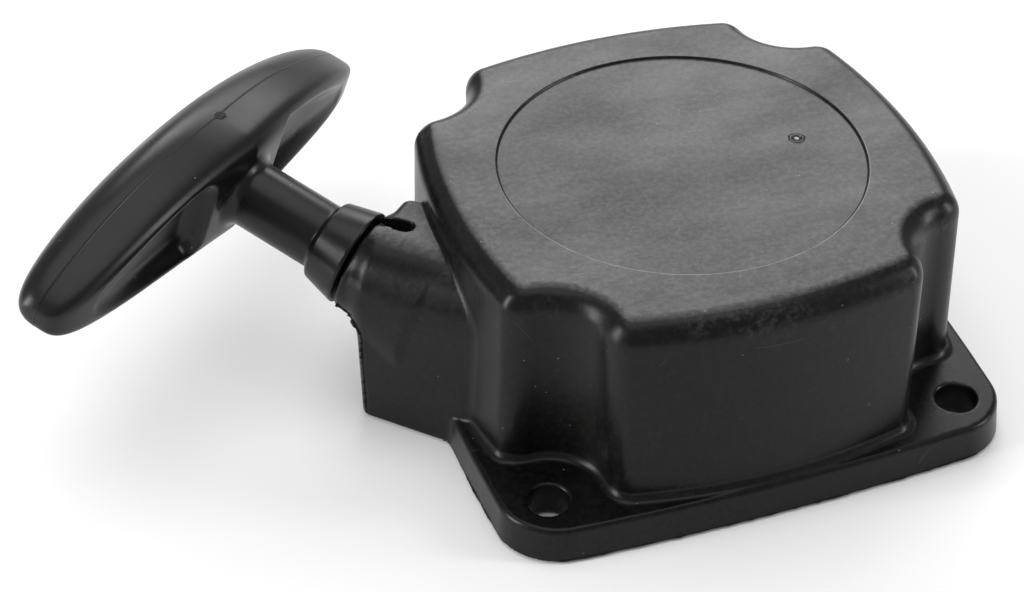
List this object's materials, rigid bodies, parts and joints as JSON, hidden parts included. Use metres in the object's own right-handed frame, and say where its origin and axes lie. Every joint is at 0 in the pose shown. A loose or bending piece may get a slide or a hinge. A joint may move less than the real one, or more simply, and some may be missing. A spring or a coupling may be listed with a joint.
{
  "type": "recoil starter",
  "caption": "Moulded pull-cord starter for a small engine: lobed housing on a square flange, side rope nozzle, T-handle, spring-wound reel and ratchet pawls.",
  "frame": {"origin": "centre of the flange's underside, on the reel's axis, in the plane of the engine's face", "axes": "+Z out of the flange's upper side, away from the engine; +X and +Y along the flange's sides; the rope nozzle is on the -X side and the T-handle is beyond it"},
  "size_m": [0.1458, 0.1055, 0.044],
  "materials": {
    "black_nylon": "satin moulded glass-filled nylon",
    "black_grip": "satin moulded nylon",
    "reel_nylon": "natural moulded nylon",
    "rope": "braided nylon starter rope",
    "zinc_steel": "zinc-plated pressed steel",
    "spring_steel": "oiled blue-grey spring steel",
    "brass": "turned brass insert"
  },
  "bodies": {
    "housing": {"starter_housing": "black_nylon", "rope_guide": "zinc_steel", "spring_case": "zinc_steel", "spring_cover": "zinc_steel", "recoil_spring": "spring_steel", "thread_insert": "brass", "centre_screw": "zinc_steel", "centre_washer": "zinc_steel", "guide_plate": "zinc_steel", "brake_spring": "spring_steel", "rope_run": "rope"},
    "reel": {"rope_pulley": "reel_nylon", "rope_winding": "rope", "reel_knot": "rope", "pawl_pin_1": "zinc_steel", "pawl_pin_2": "zinc_steel", "pawl_spring_1": "spring_steel", "pawl_spring_2": "spring_steel"},
    "pawl_1": {"pawl_1": "zinc_steel"},
    "pawl_2": {"pawl_2": "zinc_steel"},
    "handle": {"handle_grip": "black_grip", "handle_knot": "rope"}
  },
  "joints": [
    {"name": "handle_pull", "type": "slide", "parent": "housing", "child": "handle", "axis": [-0.6612, 0.6775, 0.3223], "range_m": [0, 0.7], "stiffness_N_per_m": 10, "springref_m": -0.3, "deforming": ["rope_run"]},
    {"name": "reel_spin", "type": "hinge", "parent": "housing", "child": "reel", "pos_m": [0, 0, 0.0178], "axis": [0, 0, -1], "range_deg": [0, 1400], "deforming": ["recoil_spring"]},
    {"name": "pawl_1_swing", "type": "hinge", "parent": "reel", "child": "pawl_1", "pos_m": [0.015, 0, 0.0108], "axis": [0, 0, 1], "range_deg": [0, 26], "stiffness_Nm_per_rad": 0.002, "springref_deg": -17.19, "deforming": ["pawl_spring_1"]},
    {"name": "pawl_2_swing", "type": "hinge", "parent": "reel", "child": "pawl_2", "pos_m": [-0.015, 0, 0.0108], "axis": [0, 0, 1], "range_deg": [0, 26], "stiffness_Nm_per_rad": 0.002, "springref_deg": -17.19, "deforming": ["pawl_spring_2"]}
  ],
  "couplings": [
    {"joint": "reel_spin", "follows": "handle_pull", "rad_per_m": 34.36},
    {"joint": "pawl_2_swing", "follows": "pawl_1_swing", "ratio": 1}
  ]
}
